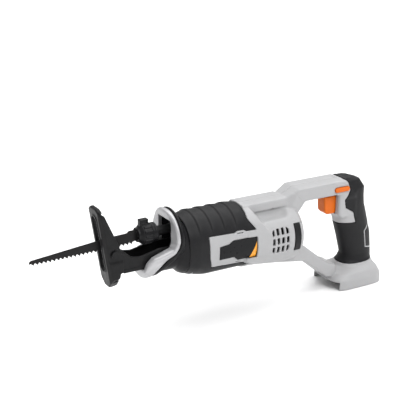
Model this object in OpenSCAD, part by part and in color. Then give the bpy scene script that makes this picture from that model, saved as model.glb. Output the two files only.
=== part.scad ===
// Cordless reciprocating saw, bare tool.
// X runs backwards along the blade's stroke, +Z up, Y = 0 is the plane where the casing halves meet.
// Sizes along X inside the modules are counted from the chuck's front face, and sizes along Z from
// the stroke axis; row_frame() then moves each part so that the origin is under the saw's middle.

/* [Overall] */
// Height of the stroke axis above the surface that the foot stands on
axis_h = 133; // [131:1:136]
// Rear end of the foot, behind the chuck's front face
foot_rear = 380; // [379:1:384]
// Wall thickness of the moulded casing
wall = 3; // [2.6:0.1:3.4]

/* [Blade] */
// Reach of the blade in front of the chuck
blade_reach = 142; // [120:1:200]
// Height of the blade behind its tip
blade_h = 16.5; // [14:0.5:18]
// Thickness of the blade
blade_t = 1.3; // [0.9:0.1:1.4]
// Distance from tooth to tooth
tooth_pitch = 5.4; // [4:0.1:8]
// Depth of a tooth gullet
tooth_depth = 3; // [1.5:0.1:3.5]

/* [Chuck and drive] */
// Radius of the chuck sleeve over its ribs
chuck_r = 14.3; // [13.8:0.1:14.4]
// Radius of the plunger
plunger_r = 6.5; // [6:0.1:6.8]
// Radius of the crank pin's circle, half of the blade's stroke
crank_r = 11; // [9:0.5:12]
// Number of teeth on the drive gear
gear_teeth = 39; // [39:1:39]
// Number of teeth on the motor pinion
pinion_teeth = 11; // [11:1:11]

/* [Shoe] */
// Height of the shoe plate
shoe_h = 108; // [104:1:110]
// Width of the shoe over its cheeks
shoe_w = 36.8; // [36.4:0.1:38]
// Forward tilt of the shoe plate at rest
shoe_tilt = 8.4; // [7:0.2:9]
// Half width of the bracket arm that carries the shoe
arm_half = 15; // [14.6:0.1:15.2]

/* [Body] */
// Half width of the rubber boot
boot_r = 38; // [37.5:0.1:38.5]
// Radius of the motor barrel
barrel_r = 41; // [40.5:0.1:42]
// Depth of the motor shaft below the stroke axis
motor_drop = 35; // [35:1:35]
// Half width of the arch over the hand opening
arch_half = 19; // [18:0.5:20]
// Half width of the foot
foot_half = 35; // [34.5:0.5:36]

/* [Hidden] */

$fn = 64;
origin_x = (foot_rear - blade_reach) / 2;
gap = 0.3;                       // clearance round parts that slide in the casing
far = 200;                       // beyond every part
body_z = -25.5;                  // middle height of the gear case and boot
body_flat = 6;                   // half height of the flat side between their round top and bottom
case_r = boot_r - wall - 0.4;    // outside of the gear case
case_wall = 4.6;
motor_z = -motor_drop;
boot_front = 58;
case_rear = 142;
gear_x = 101;
gear_r = 27;
gear_top = -19;
gear_bottom = -27;
yoke_half_h = 7;
yoke_top = 2.5;
yoke_half_w = 18;
plunger_end = 156;
arm_floor = -41;
shoe_pivot = [-38, -13];
shoe_face = 11.1;                // distance from the pivot to the shoe's front face
shoe_low = -46.5;                // lower end of the shoe below the pivot
plate_t = 3;
neck = 5;                        // how far the case and the boot draw in behind the nose
neck_end = 68;
cavity_front = 73;
sleeve_end = 18.4;               // rear end of the chuck sleeve
cap_end = 26;

SIDES = [-1, 1];

// ---- shapes used by several parts

module row_frame() translate([-origin_x, 0, axis_h]) children();

// Extrudes a Y-Z outline from x0 to x1
module along_x(x0, x1) translate([x0, 0, 0]) rotate([90, 0, 90]) linear_extrude(x1 - x0) children();

// Extrudes an X-Z outline from y0 to y1
module along_y(y0, y1) translate([0, y1, 0]) rotate([90, 0, 0]) linear_extrude(y1 - y0) children();

module rod_x(r, x0, x1, z = 0) translate([x0, 0, z]) rotate([0, 90, 0]) cylinder(r = r, h = x1 - x0);

module rod_y(r, x, z, y0, y1) translate([x, y1, z]) rotate([90, 0, 0]) cylinder(r = r, h = y1 - y0);

module rod_z(r, x, z0, z1, y = 0) translate([x, y, z0]) cylinder(r = r, h = z1 - z0);

module half_space(side) translate([-far, side < 0 ? -far : 0, -far]) cube([4 * far, far, 2 * far]);

module rounded_bar(x0, x1, z0, z1, r) {
    translate([x0 + r, z0]) square([x1 - x0 - 2 * r, z1 - z0]);
    translate([x0, z0 + r]) square([x1 - x0, z1 - z0 - 2 * r]);
    for (x = [x0 + r, x1 - r], z = [z0 + r, z1 - r]) translate([x, z]) circle(r = r, $fn = 32);
}

// Round top and bottom joined by short flat sides: the section of the gear case and the boot
module body_section(r) {
    for (s = SIDES) translate([0, body_z + s * body_flat]) circle(r = r);
    translate([-r, body_z - body_flat]) square([2 * r, 2 * body_flat]);
}

module body_sleeve(r_out, r_in, x0, x1) along_x(x0, x1) difference() {
    body_section(r_out);
    body_section(r_in);
}

// Closed skin through rings of equal point counts, each ring counter-clockwise seen from above
module skin(rings) {
    n = len(rings[0]);
    m = len(rings);
    polyhedron(
        points = [for (ring = rings) each ring],
        faces = concat(
            [[for (j = [0 : n - 1]) j]],
            [for (i = [0 : m - 2], j = [0 : n - 1]) [i * n + j, (i + 1) * n + j,
                (i + 1) * n + (j + 1) % n, i * n + (j + 1) % n]],
            [[for (j = [n - 1 : -1 : 0]) (m - 1) * n + j]]),
        convexity = 6);
}

function oval_power(v, p) = sign(v) * pow(abs(v), 2 / p);

// One level ring: [height, middle X, half length, half width, squareness]
function level_ring(s, inset, sides = 28) = [for (j = [0 : sides - 1]) let (a = 360 * j / sides)
    [s[1] + (s[2] - inset) * oval_power(cos(a), s[4]), (s[3] - inset) * oval_power(sin(a), s[4]), s[0]]];

// Helical wire of round section, from z = 0 upwards
module coil(r, wire_r, pitch, turns, steps = 14, sides = 6) {
    rings = [for (i = [0 : turns * steps]) let (a = 360 * i / steps) [for (j = [0 : sides - 1])
        let (b = 360 * j / sides) [(r + wire_r * cos(b)) * cos(a), (r + wire_r * cos(b)) * sin(a),
            pitch * i / steps + wire_r * sin(b)]]];
    mirror([0, 1, 0]) skin([for (ring = rings) [for (p = ring) [p[0], -p[1], p[2]]]]);
}

// ---- casing: barrel, spine, arch, grip column, strut and foot

// Foot, neck and grip from the bottom up: [height, middle X, half length, half width, squareness]
COLUMN = [
    [-axis_h, foot_rear - 43, 43, foot_half, 4.5], [-119, foot_rear - 43, 42.5, foot_half - 0.5, 4.5],
    [-111, foot_rear - 41, 38, foot_half - 4, 3.6], [-105, 344.5, 29.5, 23, 2.5], [-98, 347, 26, 19.5, 2.2],
    [-90, 349, 24, 18, 2.2], [-62, 344, 26.7, 18, 2.2], [-38, 337, 27, 18, 2.2], [-26, 334, 26, 18, 2.4],
    [-16, 334, 22, 18, 2.6], [-3, 333, 21, 18, 2.8], [10, 333, 21, 18, 2.8], [22, 327, 19, 16, 2.6],
    [27, 320, 12, 11, 2.4]];

ARCH = [[206, -30], [206, 12], [221, 19], [236, 26], [316, 26], [330, 0], [312, 0], [309, 6.5],
    [247, 6.5], [226, -18], [226, -30]];

// Neck behind the trigger, between the arch and the grip
NECK = [[304, 8], [304, -24], [309, -30], [334, -30], [334, 8]];

STRUT = [[200, -60], [236, -60], [243, -54.5], [286, -90], [304, -98], [304, -116], [289, -114],
    [260, -90], [246, -81], [190, -72]];

// Rubber of the grip, as the outline where it leaves the hard casing
GRIP = [[306, 30], [317, 23], [322, 11], [314, -3], [316, -15], [329, -23], [334.5, -39.7],
    [280, -39.7], [280, -101.5], [400, -101.5], [400, 30]];

// Rear edge of the rubber boot, and the window in its side
BOOT = [[boot_front, 30], [146, 30], [146, 4], [148, 0], [155.5, -10.3], [139, -10.3], [137, -14], [137, -56],
    [146, -57], [146, -80], [boot_front, -80]];
WINDOW = [[84.8, -8], [123, -9.3], [127, -7.4], [136.9, -7.8], [136.9, -54], [90, -51], [86, -37]];

BADGE = [[100, -24], [113.5, -22.4], [120, -18.6], [156, -19.2], [156, -48.2], [128.6, -48],
    [122, -42], [100, -41.8]];
BADGE_CORNER = [[156, -24.5], [156, -48.7], [145.5, -48.7]];

SCREWS = [[178, 8], [224, 8], [258, 16], [282, 16], [262, -83], [150, -68], [312, -112], [368, -112]];

module column(inset) skin([for (s = COLUMN) level_ring(s, inset)]);

module arch_and_strut(inset) {
    along_y(-arch_half + inset, arch_half - inset) offset(delta = -inset) polygon(ARCH);
    along_y(-arch_half + 1 + inset, arch_half - 1 - inset) offset(delta = -inset) polygon(NECK);
    along_y(-17 + inset, 17 - inset) offset(delta = -inset) polygon(STRUT);
}

module barrel(inset) {
    rod_x(barrel_r - inset, case_rear + 0.4, 226 - inset, motor_z);
    translate([226 - inset, 0, motor_z]) rotate([0, 90, 0])
        cylinder(r1 = barrel_r - inset, r2 = barrel_r - inset - 5, h = 7);
}

// Spine on top of the barrel
module spine(inset) along_x(146 + inset, 215)
    translate([-17 + inset, -24]) square([34 - 2 * inset, 41.5 - inset]);

// Front of the casing, which carries on the boot's section to the barrel
module shoulder(inset) along_x(case_rear + 0.4, 166) body_section(boot_r + 0.4 - inset);

module vents() for (i = [0 : 3], j = [0 : 2])
    along_y(-far, far) rounded_bar(179.5 + 7.5 * i, 183.5 + 7.5 * i, -25 - 12 * j, -16 - 12 * j, 1.2);

module screw_holes(r) for (p = SCREWS) rod_y(r, p[0], p[1], -far, far);

module dock_space() along_y(-foot_half + 5, foot_half - 5)
    polygon([[foot_rear - 100, -axis_h - 1], [foot_rear - 100, -121], [foot_rear - 8, -121],
        [foot_rear - 8, -axis_h - 1]]);

module dock_rails() for (s = SIDES)
    translate([foot_rear - 76, s > 0 ? foot_half - 8.5 : -foot_half + 4.9, -128])
        cube([62, 3.6, 2.6]);

module casing_solid() {
    barrel(0);
    shoulder(0);
    spine(0);
    arch_and_strut(0);
    difference() {
        column(0);
        along_y(-far, far) polygon(GRIP);
    }
    column(2.4);
}

module casing_hollow() {
    barrel(wall);
    shoulder(wall);
    spine(wall);
    arch_and_strut(wall);
    difference() {
        column(2.4 + wall);
        translate([300, -far, -121]) cube([far, 2 * far, wall]);
    }
}

module casing_cuts() {
    dock_space();
    vents();
    bumper_grooves();
    badge_recess();
    // trigger and lock-off button
    along_y(-9 - gap, 9 + gap) polygon([[280, 3.3], [280, -23.8], [318, -23.8], [318, 3.3]]);
    lock_off_path(gap);
    along_y(-far, far) polygon(BOOT);
}

module lock_off_path(grow) along_y(-far, far)
    rounded_bar(295 - grow, 319 + grow, 10.8 - grow, 17.2 + grow, 2.6);

module casing() difference() {
    union() {
        difference() {
            casing_solid();
            casing_hollow();
        }
        // bosses round the screws, and the seat of the motor's rear bearing
        intersection() {
            casing_solid();
            for (p = SCREWS) rod_y(4, p[0], p[1], -far, far);
        }
        rod_x_ring(13, 9.5, 221, 231, motor_z);
        dock_rails();
    }
    casing_cuts();
}

module rod_x_ring(r_out, r_in, x0, x1, z) difference() {
    rod_x(r_out, x0, x1, z);
    rod_x(r_in, x0 - 1, x1 + 1, z);
}

module bumper_grooves() for (s = SIDES) bumper(s, 1.6, 0);

module bumper(side, deep, inset) intersection() {
    rod_x_ring(barrel_r + 0.6 - inset, barrel_r - deep, 215.5 + inset, 225 - inset, motor_z);
    translate([200, side > 0 ? 20 : -70, -51 + inset]) cube([40, 50, 37 - 2 * inset]);
}

module housing_half(side) color("lightgray") intersection() {
    difference() {
        casing();
        screw_holes(1.5);
        for (p = SCREWS) rod_y(3.4, p[0], p[1], screw_seat(p), far);
    }
    half_space(side);
}

// Depth at which a screw head sits, inside the right casing half
function screw_seat(p) = p[1] > 0 ? 11 : 9;

module housing_left() housing_half(-1);

module housing_right() housing_half(1);

module housing_screws() color("dimgray") for (p = SCREWS) difference() {
    union() {
        rod_y(1.5, p[0], p[1], -10, screw_seat(p));
        rod_y(3.1, p[0], p[1], screw_seat(p), screw_seat(p) + 2.6);
    }
    rod_y(1.2, p[0], p[1], screw_seat(p) + 1.2, screw_seat(p) + 3);
}

module on_side(side, outline, r_out, r_in) intersection() {
    body_sleeve(r_out, r_in, boot_front, 170);
    along_y(side > 0 ? 5 : -60, side > 0 ? 60 : -5) polygon(outline);
}

module side_panel(side) color("lightgray") difference() {
    on_side(side, WINDOW, boot_r + 0.4, case_r + 0.2);
    badge_recess();
}

module badge_recess() difference() {
    along_y(-far, far) polygon(BADGE);
    along_x(boot_front, 180) body_section(boot_r - 1);
}

module side_panel_left() side_panel(-1);

module side_panel_right() side_panel(1);

module badge(side) color([0.16, 0.16, 0.17]) difference() {
    on_side(side, BADGE, boot_r + 1, boot_r - 1);
    along_y(-far, far) polygon(BADGE_CORNER);
}

module badge_left() badge(-1);

module badge_right() badge(1);

module badge_corner(side) color("orange") on_side(side, BADGE_CORNER, boot_r + 1, boot_r - 1);

module badge_corner_left() badge_corner(-1);

module badge_corner_right() badge_corner(1);

module bumper_band_left() color([0.2, 0.2, 0.21]) bumper(-1, 1.6, 0.1);

module bumper_band_right() color([0.2, 0.2, 0.21]) bumper(1, 1.6, 0.1);

module grip_accent(side, grow) intersection() {
    column(-0.3);
    along_y(side > 0 ? 4 : -40, side > 0 ? 40 : -4) difference() {
        offset(delta = grow) polygon([[362, -46], [351, -56], [354, -81], [368, -85], [400, -85],
            [400, -46]]);
        offset(delta = -1.6 - grow) polygon([[362, -46], [351, -56], [354, -81], [368, -85], [410, -85],
            [410, -46]]);
    }
}

module handle_grip() color([0.2, 0.2, 0.21]) difference() {
    intersection() {
        column(0);
        along_y(-far, far) polygon(GRIP);
    }
    column(2.4);
    arch_and_strut(0);
    for (s = SIDES) grip_accent(s, 0.05);
    lock_off_path(gap);
}

module grip_accent_left() color("darkgray") difference() {
    grip_accent(-1, 0);
    column(2.4);
}

module grip_accent_right() color("darkgray") difference() {
    grip_accent(1, 0);
    column(2.4);
}

// ---- rubber boot and nose

NOSE_FRONT = [[37, 29], [40, 12], [40, -12], [38, -18], [23, -23], [12, -26.5], [4, -34], [0, -45]];
NOSE_BACK = [[12, -58], [18, -46], [26, -38], [35, -31], [43, -26], [46, -16], [46, 29]];

module nose_outline(inset) {
    translate([0, -8]) circle(r = 37 - inset);
    translate([0, -33]) circle(r = 24 - inset);
    polygon([[-37 + inset, -8], [-24 + inset, -33], [24 - inset, -33], [37 - inset, -8]]);
}

module nose_opening(half_w, top) translate([-half_w, arm_floor - 0.5])
    square([2 * half_w, top - arm_floor + 0.5]);

module nose_collar() color("silver") difference() {
    intersection() {
        along_x(-10, 60) nose_outline(0);
        along_y(-40, 40) polygon(concat(NOSE_FRONT, [[3, -56]], NOSE_BACK));
    }
    along_x(-20, 70) nose_opening(16.4, 15.4);
}

// Dark rim behind the collar: it follows the collar's back edge and closes the boot's front
module nose_bezel() color([0.16, 0.16, 0.17]) difference() {
    intersection() {
        union() {
            along_x(-10, 50.5) nose_outline(1);
            along_x(50, boot_front) body_section(case_r - neck);
        }
        along_y(-40, 40) polygon(concat([[46.1, 30], [46.1, -16], [43.1, -26], [35.1, -31.1],
            [26.1, -38.1], [18.1, -46.1], [12.1, -58.1]], [[20, -60], [boot_front - 0.1, -66],
            [boot_front - 0.1, 30]]));
    }
    along_x(-20, 70) nose_opening(16.4, 15.4);
    rod_x(1.6, 40, 70, -30);
    work_light_pocket(0.1);
}

module grip_boot() color([0.2, 0.2, 0.21]) difference() {
    union() {
        intersection() {
            union() {
                body_sleeve(boot_r - neck + 1, case_r - neck + 0.2, boot_front, neck_end);
                body_sleeve(boot_r, case_r - neck + 0.2, neck_end - 3, neck_end);
                body_sleeve(boot_r, case_r + 0.2, neck_end, 160);
            }
            along_y(-far, far) polygon(BOOT);
        }
        intersection() {
            // raised ribs across the top
            for (i = [0 : 3]) along_x(74 + 18 * i, 87 + 18 * i) difference() {
                body_section(boot_r + 0.8);
                body_section(boot_r - 1);
            }
            along_y(-far, far) polygon([[60, -3], [150, -3], [150, 30], [60, 30]]);
            along_y(-far, far) polygon(BOOT);
        }
    }
    along_y(-far, far) polygon(WINDOW);
    badge_recess();
}

module work_light_pocket(grow) translate([49.5 - grow, -5 - grow, arm_floor + 3])
    cube([6 + 2 * grow, 10 + 2 * grow, 9 + grow]);

module work_light_lens() color([0.95, 0.97, 1]) translate([46.4, -5, arm_floor + 3.4]) difference() {
    cube([3, 10, 8]);
    translate([1.4, 1, 1]) cube([3, 8, 6]);
}

module work_light_board() color("green") translate([50, -5, arm_floor + 3.4]) cube([1.6, 10, 8]);

// ---- gear case

CASE_SCREWS = [[70.6, 20], [138, 20], [70.6, -20], [138, -20]];

module case_solid() difference() {
    union() {
        along_x(boot_front, neck_end) body_section(case_r - neck);
        along_x(neck_end, case_rear) body_section(case_r);
    }
    along_x(cavity_front, 134) body_section(case_r - case_wall);
    rod_x(9, 50, 150);
    rod_x(11, 130, 150, motor_z);
    for (p = CASE_SCREWS) rod_z(1.6, p[0], -14, 1, p[1]);
}

module gear_case() color("darkgray") difference() {
    intersection() {
        union() {
            case_solid();
            rod_z(15, gear_x, -62, -46);
        }
        translate([0, -50, -80]) cube([160, 100, 80]);
    }
    rod_z(11, gear_x, -58, -40);
    bracket_bolts(1.5);
}

module gear_case_cover() color("darkgray") difference() {
    intersection() {
        case_solid();
        translate([0, -50, 0]) cube([160, 100, 40]);
    }
    for (p = CASE_SCREWS) rod_z(1.6, p[0], -1, 20, p[1]);
    for (p = CASE_SCREWS) rod_z(2.5, p[0], 4, 40, p[1]);
}

module gear_case_screws() color("dimgray") for (p = CASE_SCREWS) {
    rod_z(1.6, p[0], -13, 4, p[1]);
    rod_z(2.4, p[0], 4, 6.5, p[1]);
}

module plunger_seal() color([0.1, 0.1, 0.1]) rod_x_ring(11, plunger_r, 52, 57.8, 0);

module front_bushing() color("goldenrod") rod_x_ring(9, plunger_r + 0.05, boot_front, cavity_front, 0);

module rear_bushing() color("goldenrod") rod_x_ring(9, plunger_r + 0.05, 134, case_rear, 0);

// ---- shoe and its bracket

module bracket_side() difference() {
    union() {
        polygon([[57.9, arm_floor], [57.9, -18], [25, -18], [12, -21], [-2, -24], [-14, -22],
            [-25, -12], [-34, -8.4], [-41.4, -17.6], [-30, arm_floor]]);
        translate(shoe_pivot) circle(r = 6);
    }
    translate(shoe_pivot) circle(r = 3);
}

module shoe_bracket() color([0.15, 0.15, 0.16]) difference() {
    union() {
        for (s = SIDES) along_y(s > 0 ? arm_half - 3 : -arm_half, s > 0 ? arm_half : -arm_half + 3)
            bracket_side();
        along_y(-arm_half, arm_half) polygon([[-24, arm_floor], [57.9, arm_floor],
            [57.9, arm_floor + 3], [-24, arm_floor + 3]]);
        translate([54.9, -arm_half, arm_floor]) cube([3, 2 * arm_half, 20]);
    }
    bracket_bolts(2);
    work_light_pocket(0.2);
}

module bracket_bolts(r) for (s = SIDES) translate([0, s * 9, 0]) rod_x(r, 50, 68, -27);

module bracket_screws() color("dimgray") for (s = SIDES) translate([0, s * 9, 0]) {
    rod_x(1.5, 54.9, 67, -27);
    rod_x(3, 52.4, 54.9, -27);
}

// The shoe in its own upright frame: pivot at the origin, front face at x = -shoe_face.
// A folded channel: a narrow front face, sloping shoulders and a cheek on each side of the bracket.
module shoe_plan(inset) polygon([[30, inset - shoe_w / 2], [3.5 - shoe_face, inset - shoe_w / 2],
    [0.8 * inset - shoe_face, inset * 0.3 - 12.7], [0.8 * inset - shoe_face, 12.7 - inset * 0.3],
    [3.5 - shoe_face, shoe_w / 2 - inset], [30, shoe_w / 2 - inset]]);

SHOE_SIDE = [[-20, 70], [-5, 62], [-4.8, 56], [3.7, 24.7], [8.9, 5.8], [10.7, -9.7], [8.1, -27.5],
    [4, -28.5], [2, -34.2], [1.6, -44], [0, -49], [-20, -60]];

module shoe_slot() along_x(-20, -plate_t) rounded_bar(-6.1, 6.1, -24, 50, 5.5);

module shoe_upright() difference() {
    intersection() {
        translate([0, 0, -60]) linear_extrude(130) difference() {
            shoe_plan(0);
            shoe_plan(plate_t);
        }
        along_y(-30, 30) polygon(SHOE_SIDE);
        along_x(-20, 30) polygon(concat([[-6, shoe_low], [-18.5, shoe_low + 14],
            [-18.5, shoe_low + shoe_h - 9.5], [-13.5, shoe_low + shoe_h - 3], [-8, shoe_low + shoe_h]],
            [[8, shoe_low + shoe_h], [13.5, shoe_low + shoe_h - 3], [18.5, shoe_low + shoe_h - 9.5],
            [18.5, shoe_low + 14], [6, shoe_low]]));
    }
    shoe_slot();
    rod_y(3.02, 0, 0, -40, 40);
}

module shoe() color([0.13, 0.13, 0.14]) translate([shoe_pivot[0], 0, shoe_pivot[1]])
    rotate([0, -shoe_tilt, 0]) shoe_upright();

// Two short pivot pins, one through each side of the bracket, so that the blade passes between them
module shoe_pins() color("gray") for (s = SIDES) {
    rod_y(2.97, shoe_pivot[0], shoe_pivot[1], s > 0 ? arm_half - 3 : -arm_half - 3.5,
        s > 0 ? arm_half + 3.5 : -arm_half + 3);
    rod_y(4.6, shoe_pivot[0], shoe_pivot[1], s > 0 ? arm_half + 3.5 : -arm_half - 5,
        s > 0 ? arm_half + 5 : -arm_half - 3.5);
}

// ---- blade, chuck and plunger

teeth_front = 2 - blade_reach;
teeth = floor((blade_reach - 5) / tooth_pitch);
function tooth_z(x) = -13 + 2.4 * pow((x + blade_reach) / blade_reach, 2);

module blade() color([0.1, 0.1, 0.11]) difference() {
    along_y(-blade_t / 2, blade_t / 2) polygon(concat(
        [[-blade_reach, -10.5], [3 - blade_reach, -6.2], [-57, blade_h - 14.5], [-30, blade_h - 12.5],
            [-13, blade_h - 11.9], [-10, 7.2], [0.5, 7.2], [2.5, 5.8], [16, 5.8], [16, -5.8],
            [2, -5.8], [-4, -8]],
        [for (i = [teeth - 1 : -1 : 0]) let (x = teeth_front + i * tooth_pitch) each [
            [x + tooth_pitch, tooth_z(x) + tooth_depth], [x + 0.72 * tooth_pitch, tooth_z(x)],
            [x + 0.1 * tooth_pitch, tooth_z(x) + tooth_depth * 0.9]]]));
    rod_y(2.5, 9, 0, -5, 5);
}

module plunger() color("gainsboro") {
    rod_x(plunger_r, sleeve_end, gear_x - 9);
    rod_x(plunger_r, gear_x + 9, plunger_end);
    difference() {
        translate([gear_x - 9, -yoke_half_w, -yoke_half_h])
            cube([18, 2 * yoke_half_w, yoke_half_h + yoke_top]);
        translate([gear_x - 4.2, -crank_r - 4.4, -10]) cube([8.4, 2 * crank_r + 8.8, 20]);
    }
}

module chuck_body() color("gray") difference() {
    rod_x(8, 3, sleeve_end);
    translate([0, -0.85, -6.2]) cube([18, 1.7, 12.4]);
    rod_y(2.2, 9, 0, -10, 10);
}

module chuck_cap() color([0.15, 0.15, 0.16]) rod_x_ring(12.5, plunger_r, sleeve_end + 0.1, cap_end, 0);

module clamp_pin() color("gainsboro") rod_y(2.2, 9, 0, -7.6, 7.6);

module chuck_spring() color("silver") translate([11.8, 0, 0]) rotate([0, 90, 0])
    coil(9.7, 0.7, 1.8, 3);

RIBS = 14;

module chuck_sleeve() color([0.14, 0.14, 0.15]) difference() {
    union() {
        rod_x(9.6, 0, 2.5);
        translate([2.5, 0, 0]) rotate([0, 90, 0]) cylinder(r1 = 9.6, r2 = chuck_r - 0.9, h = 4);
        rod_x(chuck_r - 0.9, 6.5, sleeve_end);
        for (i = [0 : RIBS - 1]) rotate([360 * (i + 0.5) / RIBS, 0, 0])
            translate([7.5, -1, chuck_r - 2]) cube([10.5, 2, 2]);
        // finger tab
        translate([4, -4, 10]) cube([12, 8, 9.6]);
    }
    rod_x(8.05, -1, 30);
    rod_x(11.2, 11, sleeve_end + 1);
    translate([6.5, -5, 14.6]) cube([7, 1.6, 3.2]);
}

// ---- drive gear

module drive_gear() color("slategray") difference() {
    union() {
        rod_z(gear_r, gear_x, gear_bottom, gear_top);
        rod_z(9, gear_x, -40, gear_bottom);
        // face teeth, radial bars on the underside
        for (i = [0 : gear_teeth - 1]) translate([gear_x, 0, gear_bottom - 1.9])
            rotate([0, 0, 360 * (i + 0.5) / gear_teeth]) translate([20.5, -0.5, 0]) cube([6, 1, 2]);
    }
    rod_z(5, gear_x, -60, 0);
    rod_z(3.5, gear_x, -60, 0, crank_r);
    // balance holes opposite the crank pin
    for (a = [-35, 0, 35]) translate([gear_x, 0, 0]) rotate(a) rod_z(3.6, 0, -30, -15, -15);
}

module crank_pin() color("gainsboro") {
    rod_z(3.5, gear_x, gear_bottom, gear_top, crank_r);
    rod_z(4, gear_x, gear_top, -yoke_half_h - 0.6, crank_r);
}

module gear_spindle() color("gainsboro") rod_z(5, gear_x, -57.5, gear_top);

module spindle_bearing() color("gainsboro") difference() {
    rod_z(11, gear_x, -58, -48);
    rod_z(5.05, gear_x, -60, -40);
}

// ---- motor

module motor_pinion() color("slategray") difference() {
    union() {
        rod_x(5, 121, 131, motor_z);
        for (i = [0 : pinion_teeth - 1]) translate([121, 0, motor_z])
            rotate([360 * i / pinion_teeth, 0, 0]) translate([0, -0.4, 4.5]) cube([7, 0.8, 2.4]);
    }
    rod_x(2.5, 110, 140, motor_z);
}

module motor_shaft() color("gainsboro") {
    rod_x(2.5, 121, 133.8, motor_z);
    rod_x(4, 133.8, 230, motor_z);
}

module armature() color("peru") difference() {
    union() {
        rod_x(19, 162, 198, motor_z);
        rod_x(15, 158, 202, motor_z);
    }
    rod_x(4, 150, 210, motor_z);
}

module commutator() color("chocolate") rod_x_ring(10, 4, 204, 216, motor_z);

module cooling_fan() color([0.25, 0.25, 0.26]) difference() {
    union() {
        rod_x(27, 146, 147.5, motor_z);
        rod_x(8, 146, 154, motor_z);
        for (i = [0 : 12]) translate([147, 0, motor_z]) rotate([360 * i / 13, 0, 0])
            translate([0, -0.6, 12]) cube([7, 1.2, 14.5]);
    }
    rod_x(4, 140, 160, motor_z);
}

module motor_bearing_front() color("gainsboro") rod_x_ring(11, 4.05, 134, 141, motor_z);

module motor_bearing_rear() color("gainsboro") rod_x_ring(9.5, 4.05, 222, 229, motor_z);

module motor_can() color("gray") difference() {
    rod_x(28, 157, 219, motor_z);
    rod_x(19.6, 158.5, 203, motor_z);
    rod_x(16, 150, 225, motor_z);
    for (s = SIDES) translate([206, s > 0 ? 10 : -25, motor_z - 3.1]) cube([8, 15, 6.2]);
}

module carbon_brushes() color([0.2, 0.2, 0.2]) for (s = SIDES)
    translate([206.1, s > 0 ? 10.1 : -22, motor_z - 3]) cube([7.8, 11.9, 6]);

// ---- switch, trigger and lock-off button

module trigger() color("darkorange") difference() {
    union() {
        along_y(-9, 9) polygon([[285, 3], [286.5, -19], [291, -23.4], [304, -23.4], [306, -20], [306, 3]]);
        along_y(-7, 7) polygon([[302, 1], [302, -18], [310, -18], [310, 1]]);
    }
    along_y(-5, 5) polygon([[306.2, -2], [306.2, -15], [311, -15], [311, -2]]);
}

module trigger_spring() color("silver") translate([306.7, 0, -8.5]) rotate([0, 90, 0])
    coil(3.4, 0.45, 2.3, 5);

module switch_body() color([0.12, 0.12, 0.13]) translate([319, -9, -22]) cube([20, 18, 24]);

module lock_off_button() color("darkorange")
    along_y(-arch_half - 2.6, arch_half + 2.6) rounded_bar(295, 319, 10.8, 17.2, 2.6);

module lock_off_spring() color("silver") translate([301, 0, 17.8]) coil(2.2, 0.4, 1.2, 2);

// ---- battery dock

module terminal_block() color([0.12, 0.12, 0.13]) difference() {
    translate([foot_rear - 36, -15, -129]) cube([26, 30, 7.9]);
    for (i = [-1 : 1]) translate([foot_rear - 40, 9 * i - 0.5, -127.6]) cube([12, 1, 5]);
}

module terminal_blades() color("goldenrod") for (i = [-1 : 1])
    translate([foot_rear - 50, 9 * i - 0.4, -127.5]) cube([20, 0.8, 4.8]);

// ---- one line for each part

row_frame() housing_left();
row_frame() housing_right();
row_frame() housing_screws();
row_frame() side_panel_left();
row_frame() side_panel_right();
row_frame() badge_left();
row_frame() badge_right();
row_frame() badge_corner_left();
row_frame() badge_corner_right();
row_frame() bumper_band_left();
row_frame() bumper_band_right();
row_frame() handle_grip();
row_frame() grip_accent_left();
row_frame() grip_accent_right();
row_frame() grip_boot();
row_frame() nose_collar();
row_frame() nose_bezel();
row_frame() work_light_lens();
row_frame() work_light_board();
row_frame() gear_case();
row_frame() gear_case_cover();
row_frame() gear_case_screws();
row_frame() plunger_seal();
row_frame() front_bushing();
row_frame() rear_bushing();
row_frame() shoe_bracket();
row_frame() bracket_screws();
row_frame() shoe();
row_frame() shoe_pins();
row_frame() blade();
row_frame() plunger();
row_frame() chuck_body();
row_frame() chuck_cap();
row_frame() clamp_pin();
row_frame() chuck_spring();
row_frame() chuck_sleeve();
row_frame() drive_gear();
row_frame() crank_pin();
row_frame() gear_spindle();
row_frame() spindle_bearing();
row_frame() motor_pinion();
row_frame() motor_shaft();
row_frame() armature();
row_frame() commutator();
row_frame() cooling_fan();
row_frame() motor_bearing_front();
row_frame() motor_bearing_rear();
row_frame() motor_can();
row_frame() carbon_brushes();
row_frame() trigger();
row_frame() trigger_spring();
row_frame() switch_body();
row_frame() lock_off_button();
row_frame() lock_off_spring();
row_frame() terminal_block();
row_frame() terminal_blades();
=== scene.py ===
"""Cordless reciprocating saw: moulded casing, rubber boot and grip, shoe, chuck and blade.

Outlines below are in millimetres, with X backwards from the chuck's front face, Y = 0 where the
casing halves meet and Z up from the stroke axis. to_row() moves them into the row frame.
Big moulded pieces are signed distances, negative inside, which moulded() turns into meshes.
"""
import math

import bmesh
import bpy
import numpy as np
import openvdb
from mathutils import Matrix, Vector


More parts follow.
